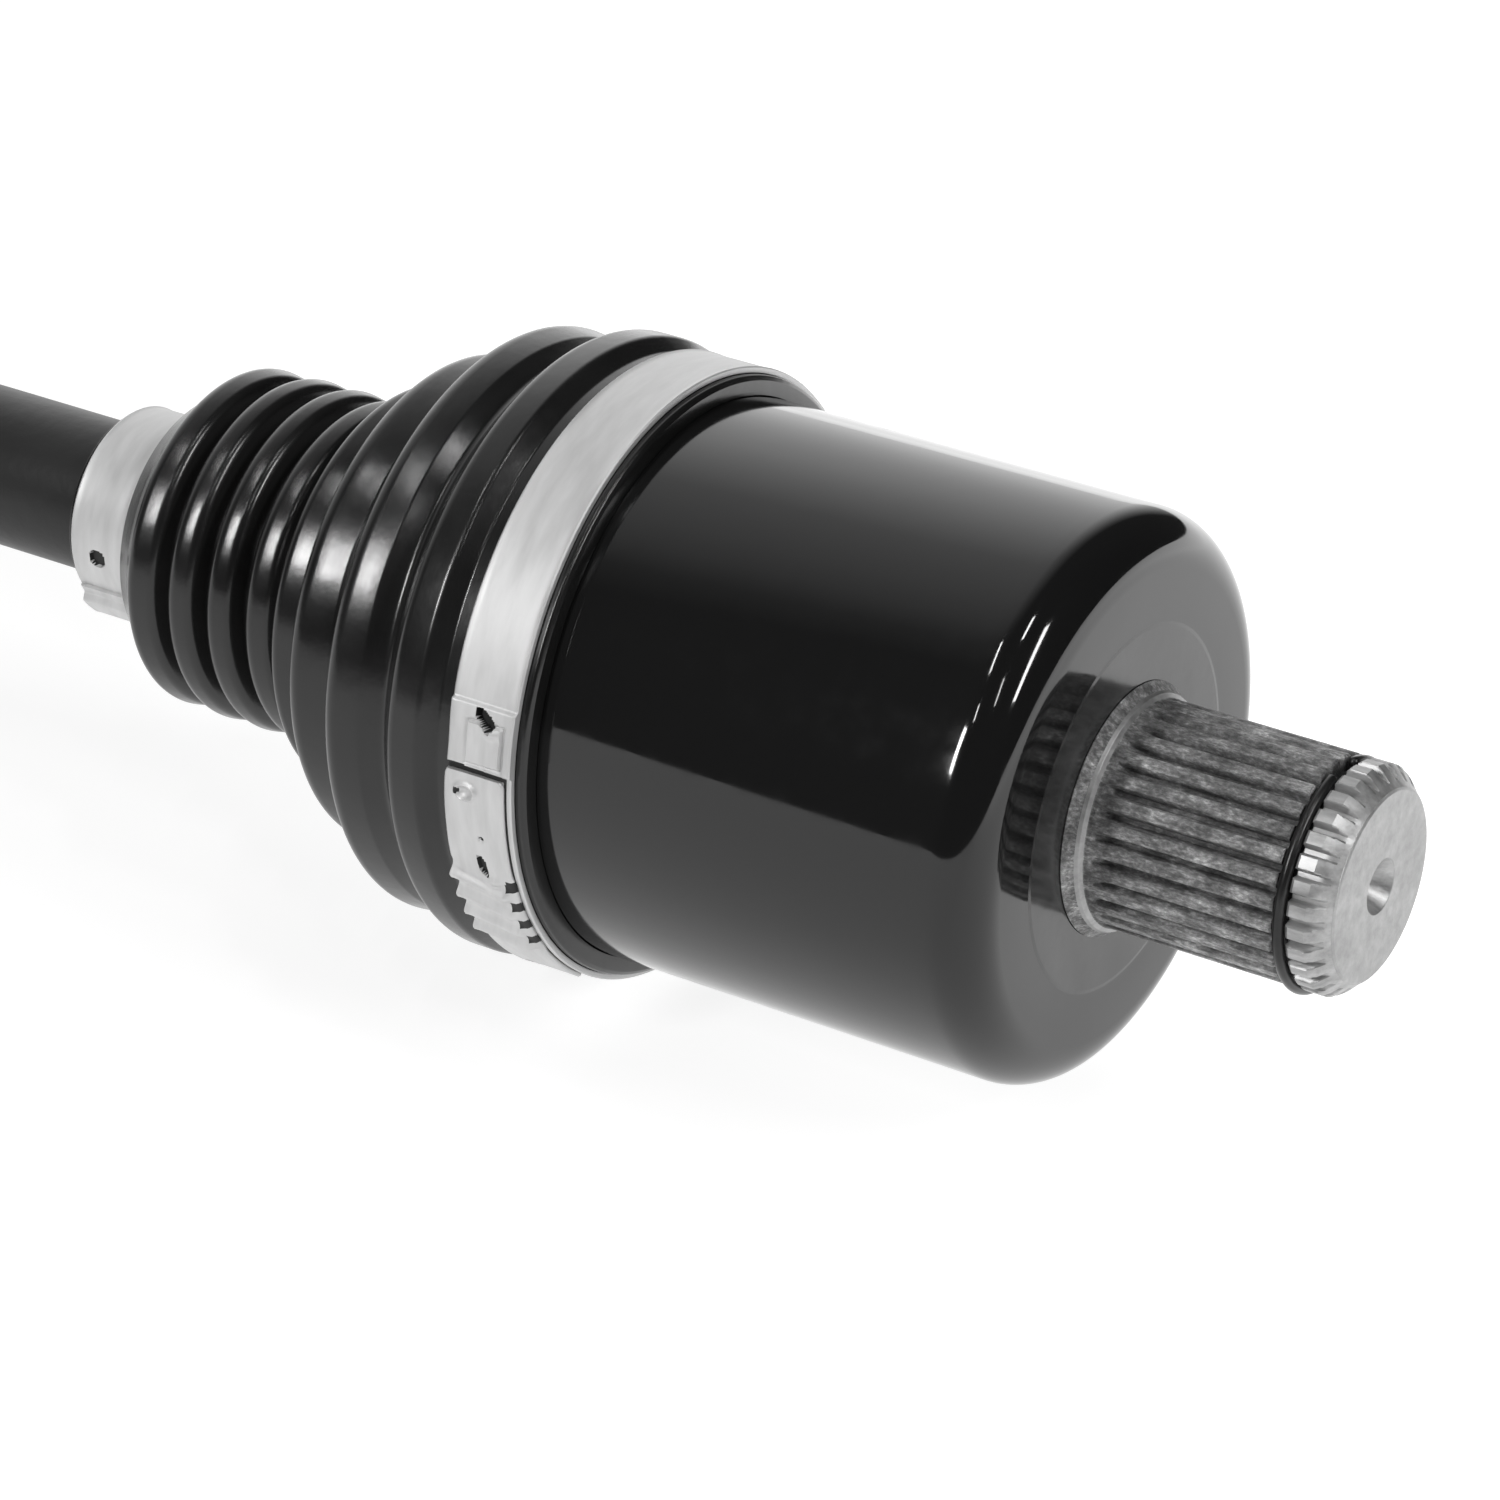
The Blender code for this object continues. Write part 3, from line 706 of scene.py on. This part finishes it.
def lap_height(a, share):
    """A turned-up rim, four leaning ridges in a sunk field, a hook, a round boss, a dent and a swell."""
    h = 0.14 * bell_curve(share, 0.06)
    for place in RIDGES:
        h += 1.05 * bell_curve(a - place + 3.0 * share, 1.2) * plateau(share - 0.40, 0.40, 0.18)
    h -= 0.35 * plateau(a + 30.0, 9.5, 1.5) * (1.0 - plateau(share - 0.45, 0.50, 0.05))
    h += 0.6 * bell_curve(a + 20.4, 0.8) * bell_curve(share - 0.70, 0.10)
    boss = math.hypot((a + 2.4) / 1.4, (share - 0.36) / 0.17)
    h += 0.40 * bell_curve(boss - 1.0, 0.25) - 0.35 * bell_curve(boss, 0.6)
    h -= 0.5 * bell_curve(a - DENT[0], 0.5) * bell_curve(share - DENT[1], 0.045)
    h += 0.10 * plateau(a + 7.0, 3.0, 3.0) * bell_curve(share - 0.5, 0.3)
    return THROUGH if hole(a, share, LAP_HOLE) else h


def lap_painted_shade(a, share):
    """Painted shade for the hole, the dent, the pit under the boss and the notches between the ridges."""
    dent = bell_curve(a - DENT[0], 0.45) * bell_curve(share - DENT[1], 0.04) > 0.45
    pit = math.hypot(a + 2.4, (share - 0.22) / 0.05) < 0.7
    notch = share > 0.88 and any(abs(a - place) < 1.15 for place in NOTCHES)
    return hole(a, share, LAP_HOLE) or dent or pit or notch


def lap_edges(a):
    """The lap's edges: a wave at each ridge, and corners cut back at its end."""
    teeth = 0.12 * plateau(a + 27.0, 9.0, 1.0) * math.cos(math.radians((a - RIDGES[0]) * 72.0))
    low = low_edge(a) + 0.3 * bell_curve(a - 1.6, 0.8) - teeth
    return low, 0.25 * plateau(a + 30.0, 9.0, 3.0) - 0.9 * bell_curve(a - 2.0, 0.9)


def small_band_height(angle, share):
    """Turned-up rims and a hole."""
    h = 0.14 * bell_curve(share, 0.06) + 0.12 * bell_curve(1.0 - share, 0.05)
    return THROUGH if hole(angle, share, SMALL_HOLE) else h


def small_band_painted_shade(angle, share):
    """Painted shade for the hole only."""
    return hole(angle, share, SMALL_HOLE)


def ear_height(a, share):
    """The small clamp's pinched ear, with a turned-up rim."""
    return 0.1 * bell_curve(share, 0.08) + 1.0 * plateau(a + 45.0, 6.0, 4.0)


def clamp_set(prefix, origin, wide_low, wide_high, wide_r, small_low, small_high, body):
    """Both clamps of one joint, each a band with a lap or ear over it, closed on the -Y side."""
    fine, small_fine, clear = 0.25, 0.6, 0.02          # steps between sections; gap under the lap
    turns = fine_turns(-180.0, 180.0, -2.0, 16.0, 2.0, fine)
    band = strap(f"{prefix}_large_clamp_band", origin + wide_low, origin + wide_high, turns, wide_r,
                 BAND_THICK, large_band_height, 44, large_band_painted_shade, whole=True,
                 edges=lambda a: (low_edge(a), 0.0))
    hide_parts(f"{prefix}_large_clamp")
    ride(band, body)

    turns = [-56.0 + fine * k for k in range(230)]
    lap_high = origin + wide_low + 0.90 * (wide_high - wide_low)
    lap = strap(f"{prefix}_large_clamp_lap", origin + wide_low - 0.1, lap_high, turns,
                wide_r + BAND_THICK + clear, 0.55, lap_height, 40, lap_painted_shade, edges=lap_edges)
    ride(lap, body)

    small_r, small_thick = CUFF + 0.05, 0.6
    turns = fine_turns(-180.0, 180.0, -16.0, 2.0, 3.0, small_fine)
    small = strap(f"{prefix}_small_clamp_band", origin + small_low, origin + small_high, turns, small_r,
                  small_thick, small_band_height, 36, small_band_painted_shade, whole=True)
    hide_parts(f"{prefix}_small_clamp")
    ride(small, "axle")

    turns = [-75.0 + small_fine * k for k in range(76)]
    ear = strap(f"{prefix}_small_clamp_ear", origin + small_low + 0.3, origin + small_high - 0.5, turns,
                small_r + small_thick + clear / 2.0, 0.5, ear_height, 18)
    ride(ear, "axle")


# ---------------------------------------------------------------- outboard joint

def bell():
    """Bell with a ball-shaped cavity and curved tracks, hub shoulder and necked stub base."""
    sphere, ball_circle, track = 32.0, 27.5, 10.35
    widest, seat_r, shoulder_x, neck_x = 42.785, 38.0, -46.0, -50.4    # widest is just inside the CAD
    shoulder_r = 20.0
    angle = np.arange(SIDES) * TAU / SIDES
    rows = [ring(-28.3, 0.0, origin=BELL_PIVOT)]

    def wall(axial):
        """Distance of the cavity's wall from the joint's centre, at an angle from +X in radians."""
        tilt = np.sin(axial) * np.sin(track_angles())
        flat = np.sqrt(1.0 - tilt ** 2)
        inside = track ** 2 - (ball_circle * tilt) ** 2
        far = ball_circle * flat + np.sqrt(np.maximum(inside, 0.0))
        return np.where(inside > 0.0, np.maximum(sphere, far), sphere)
    for degrees in range(152, 60, -4):
        axial = math.radians(degrees)
        end_shrink = 0.12 * math.radians(max(0.0, degrees - 138.0))
        reach = wall(axial) * (1.0 - end_shrink)
        out = reach * math.sin(axial)
        rows.append(np.stack([BELL_PIVOT + reach * math.cos(axial), -out * np.cos(angle),
                              out * np.sin(angle)], axis=1))
    outer = [(22.0, 36.2), (22.0, seat_r, 0.6), (7.0, seat_r), (6.0, widest, 0.8), (-24.0, widest, 7.0),
             (-33.5, 35.5, 6.0), (-38.0, 24.5, 3.0), (-41.5, 20.8, 1.5), (shoulder_x, shoulder_r, 0.5),
             (shoulder_x, 17.0, 0.4), (-46.6, 15.6, 0.4), (-49.6, 13.4, 0.4), (neck_x, 12.2)]
    rows += [ring(x, r, origin=BELL_PIVOT) for x, r in filleted(outer, 8)]
    rows.append(ring(neck_x, 0.0, origin=BELL_PIVOT))

    def pick(c):
        on_shoulder = c.x < BELL_PIVOT + shoulder_x + 0.1
        return 1 if on_shoulder and math.hypot(c.y, c.z) < shoulder_r - 0.1 else 0
    made = build("outboard_housing_shell", rows, [PAINT, SATIN], sharp=28.0, pick=pick)
    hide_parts("outboard_housing")
    ride(made, "outboard_housing")


def thread_rows(x, last, sides):
    """Rows of a single-start thread towards -X, fading out at both ends."""
    pitch, steps, crest, depth, blunt = 1.5, 8, 9.95, 0.85, 0.25
    fade_in, fade_out = x + 0.2, 2.4
    turn = np.arange(sides) / sides
    rows = []
    while x > last + 1.4:
        wave = np.abs(((x / pitch + turn) % 1.0) - 0.5) * 2.0
        fade = min(1.0, (fade_in - x) / pitch, (x - last) / fade_out)
        groove = depth * np.clip(wave * 1.25 - 0.1, 0.0, 1.0) * fade
        rows.append(ring(x, crest - groove - blunt * (1.0 - fade), sides, BELL_PIVOT))
        x -= pitch / steps
    return rows


def bell_stub():
    """Spline, neck and threaded end with a cotter hole through it."""
    teeth, tip, depth, crisp = 26, 13.5, 1.05, 26.0
    sides = teeth * 14
    cut = teeth_cut(teeth, depth, sides)
    start, end, last = -48.5, -82.0, BELL_TIP
    profile = [(start + 1.0, 0.0), (start + 1.0, 12.3), (start, tip)]
    rows = [ring(x, r, sides, BELL_PIVOT) for x, r in profile]
    rows += run_out(start, -2.4, tip, cut, sides, BELL_PIVOT)
    chamfer = [(-66.0, tip), (end + 1.3, tip), (end + 0.6, tip - 0.5), (end, 12.3)]
    rows += [ring(x, np.minimum(r, tip - cut), sides, BELL_PIVOT) for x, r in chamfer]
    neck_r = 9.3
    neck = [(end - 0.4, 12.2), (end - 1.6, neck_r, 0.5), (end - 4.2, neck_r, 0.3), (end - 4.8, 9.5)]
    rows += [ring(x, r, sides, BELL_PIVOT) for x, r in filleted(neck, 3)]
    rows += thread_rows(end - 5.0, last, sides)
    centre_hole = [(last + 1.3, 9.6), (last, 8.7, 0.2), (last, 6.0), (last, 2.8, 0.2), (last + 2.6, 1.2),
                   (last + 5.0, 1.2), (last + 5.5, 0.0)]
    rows += [ring(x, r, sides, BELL_PIVOT) for x, r in filleted(centre_hole, 3)]

    def pick(c):
        return 1 if c.x < BELL_PIVOT + last + 0.3 else 0
    made = build("outboard_stub", rows, [OILED_ROOT_SHADED, END_FACE], sharp=crisp, pick=pick)
    drill_upright(made, BELL_PIVOT + last + 7.0, 2.0)
    made.data.set_sharp_from_angle(angle=math.radians(crisp))
    ride(made, "outboard_housing")


def drill_upright(piece, x, radius):
    """Drills a round hole through the piece, along Z."""
    size = radius * MM
    work = bmesh.new()
    bmesh.ops.create_cone(work, cap_ends=True, segments=32, radius1=size, radius2=size, depth=40.0 * MM,
                          matrix=Matrix.Translation((x * MM, 0.0, 0.0)))
    mesh = bpy.data.meshes.new("drill")
    work.to_mesh(mesh)
    work.free()
    drill = bpy.data.objects.new("drill", mesh)
    bpy.context.scene.collection.objects.link(drill)
    step = piece.modifiers.new("hole", "BOOLEAN")
    step.operation, step.object, step.solver = "DIFFERENCE", drill, "EXACT"
    bpy.context.view_layer.update()
    drilled = piece.evaluated_get(bpy.context.evaluated_depsgraph_get())
    mesh = bpy.data.meshes.new_from_object(drilled)
    piece.modifiers.clear()
    piece.data = mesh
    bpy.data.objects.remove(drill, do_unlink=True)


# ---------------------------------------------------------------- bar and inner pieces

def bar():
    """Round bar, thinner where the races sit, with a circlip groove near each chamfered end."""
    right, left = CUP_PIVOT, BELL_PIVOT
    seat, full = 9.9, 10.2
    chamfer, groove = seat - 1.2, seat - 1.1
    profile = [(right + 14.6, 0.0), (right + 14.6, chamfer), (right + 13.4, seat), (right + 13.2, seat),
               (right + 13.2, groove), (right + 11.4, groove), (right + 11.4, seat), (right - 11.3, seat),
               (right - 11.9, full)]
    profile += [(x, full) for x in np.linspace(right - 14.0, left + 15.0, 12)]
    profile += [(left + 12.9, full), (left + 12.3, seat), (left - 12.4, seat), (left - 12.4, groove),
                (left - 14.2, groove), (left - 14.2, seat), (left - 14.4, seat), (left - 15.6, chamfer),
                (left - 15.6, 0.0)]
    made = build("shaft_bar", [ring(x, r, 128) for x, r in profile], BAR, sharp=28.0)
    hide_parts("axle_bar")
    ride(made, "axle")


def balls():
    """The top and bottom balls are bodies between the two tilts; the others ride with the cage."""
    shrink = 0.995                             # keeps each ball inside its CAD solid
    for side in ("inboard", "outboard"):
        for number in range(1, BALLS + 1):
            node = f"{side}_ball_{number}"
            low, high = (Vector(c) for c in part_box(node))
            centre, radius = (low + high) / 2.0, (high.z - low.z) / 2.0
            work = bmesh.new()
            bmesh.ops.create_icosphere(work, subdivisions=4, radius=radius * shrink,
                                       matrix=Matrix.Translation(centre))
            mesh = bpy.data.meshes.new(f"{node}_round")
            work.to_mesh(mesh)
            work.free()
            made = finish_mesh(f"{node}_round", mesh, BALL, 180.0)
            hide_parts(node)
            ends = {1: f"{side}_upper_ball", 4: f"{side}_lower_ball"}
            ride(made, ends.get(number, f"{side}_cage"))


def recolour(node, look):
    """Gives a CAD node a new look and keeps its shape."""
    data = frame["nodes"][node].data
    data.materials.clear()
    data.materials.append(look)


# ---------------------------------------------------------------- studio

def camera():
    """Looks down at the splined end from in front of it, with a slight roll; place is in metres."""
    made = bpy.data.objects.new("camera", bpy.data.cameras.new("camera"))
    bpy.context.scene.collection.objects.link(made)
    place = Vector((0.559319, -0.545091, 0.311123))
    right = Vector((0.842805, 0.537375, 0.030117)).normalized()
    up = Vector((-0.262439, 0.361459, 0.894691))
    back = right.cross(up).normalized()
    turn = Matrix((right, back.cross(right), back)).transposed()
    made.matrix_world = Matrix.Translation(place) @ turn.to_4x4()
    made.data.lens = 138.43
    made.data.sensor_width = 36.0
    made.data.clip_start = 0.01
    bpy.context.scene.camera = made
    bpy.context.scene.view_settings.view_transform = "Standard"


def facing(tree, output, direction):
    """How far a texture coordinate lies along a direction."""
    coords = tree.nodes.new("ShaderNodeTexCoord")
    node = tree.nodes.new("ShaderNodeVectorMath")
    node.operation = "DOT_PRODUCT"
    node.inputs[1].default_value = direction
    tree.links.new(coords.outputs[output], node.inputs[0])
    return node.outputs["Value"]


def floor():
    """Pale floor, lit from within and brighter behind the axle, so shadows on it stay faint."""
    mesh = bpy.data.meshes.new("floor")
    half, front = 30.0, -0.42                              # metres
    mesh.from_pydata([(-half, front, FLOOR_Z), (half, front, FLOOR_Z), (half, half, FLOOR_Z),
                      (-half, half, FLOOR_Z)], [], [(0, 1, 2, 3)])
    made = bpy.data.objects.new("floor", mesh)
    bpy.context.scene.collection.objects.link(made)
    look, shader, tree = new_material("pale_floor", (0.34, 0.34, 0.34), 0.8)
    away = facing(tree, "Object", (0.55, 0.83, 0.0))
    vary(tree, shader, "Emission Strength", mapped(tree, away, 0.08, 0.60, 0.78, 1.9))
    shader.inputs["Emission Color"].default_value = (1.0, 1.0, 1.0, 1.0)
    shader.inputs["Specular IOR Level"].default_value = 0.0
    mesh.materials.append(look)


def world():
    """White backdrop; as a light it is a bright wall behind the bar's far end and dark elsewhere."""
    made = bpy.data.worlds.new("studio")
    bpy.context.scene.world = made
    made.use_nodes = True
    tree = made.node_tree
    room = tree.nodes["Background"]
    room.inputs["Strength"].default_value = 1.55
    brightness = [(0.23, 0.02), (0.35, 0.10), (0.47, 0.28), (0.586, 0.40), (0.784, 0.55), (0.85, 0.73),
                  (0.92, 0.91), (0.96, 1.0)]               # from the wall's outer edge to its middle
    wall = ramp(tree, facing(tree, "Generated", (-0.62, 0.72, 0.30)), brightness)
    side = mapped(tree, facing(tree, "Generated", (1.0, 0.0, 0.0)), -0.40, -0.10, 1.0, 0.03)
    tree.links.new(multiplied(tree, wall, side), room.inputs["Color"])
    seen = tree.nodes.new("ShaderNodeBackground")
    seen.inputs["Color"].default_value = (1.0, 1.0, 1.0, 1.0)
    path = tree.nodes.new("ShaderNodeLightPath")
    choose = tree.nodes.new("ShaderNodeMixShader")
    tree.links.new(path.outputs["Is Camera Ray"], choose.inputs["Fac"])
    tree.links.new(room.outputs["Background"], choose.inputs[1])
    tree.links.new(seen.outputs["Background"], choose.inputs[2])
    tree.links.new(choose.outputs["Shader"], tree.nodes["World Output"].inputs["Surface"])


def lamp(name, direction, along, wide, tall, power):
    """A soft box one metre from the cup, facing it, with its long side along a direction.

    Its sides are in metres and its power in watts."""
    middle = Vector((0.24, -0.02, 0.02))                   # metres
    data = bpy.data.lights.new(name, "AREA")
    data.shape = "RECTANGLE"
    data.size = wide
    data.size_y = tall
    data.energy = power
    made = bpy.data.objects.new(name, data)
    bpy.context.scene.collection.objects.link(made)
    back = Vector(direction).normalized()
    side = Vector(along).cross(back).normalized()
    turn = Matrix((side, back.cross(side), back)).transposed()
    made.matrix_world = Matrix.Translation(middle + back) @ turn.to_4x4()
    made.visible_camera = False


camera()
floor()
world()
lamp("key", (-0.28, -0.81, 0.50), (0.0, 0.15, 1.0), 0.08, 0.30, 4.2)
lamp("strip_right", (0.73, -0.08, 0.66), (0.20, -0.33, -0.25), 0.09, 0.48, 3.6)
lamp("strip_left", (-0.26, -0.34, 0.90), (0.09, -0.26, -0.06), 0.03, 0.24, 0.7)
lamp("spot_top", (0.21, -0.10, 0.97), (0.1, -0.28, -0.06), 0.05, 0.18, 0.8)
lamp("spot_front", (-0.11, -0.68, 0.72), (0.1, -0.25, -0.2), 0.03, 0.12, 0.3)
lamp("spot_middle", (0.35, -0.50, 0.79), (0.2, -0.3, -0.25), 0.03, 0.20, 0.4)

cup()
stub()
wire_ring("stub_circlip_wire", FACE + 27.9, 13.9, 0.7, 12.0, 0.35, "stub_circlip", "inboard_housing")
wire_ring("stop_ring_wire", FACE - 71.6, 29.8, 1.0, 6.0, 0.0, "inboard_stop_ring", "inboard_housing")
inboard_boot()
clamp_set("inboard", FACE, -71.1, -61.8, 38.6, -148.9, -140.4, "inboard_housing")
bell()
bell_stub()
outboard_boot()
clamp_set("outboard", BELL_PIVOT, 11.2, 20.2, 40.4, 91.8, 100.4, "outboard_housing")
bar()
balls()
for side in ("inboard", "outboard"):
    recolour(f"{side}_race", BEARING)
    recolour(f"{side}_cage", BEARING)
    recolour(f"{side}_race_circlip", WIRE)
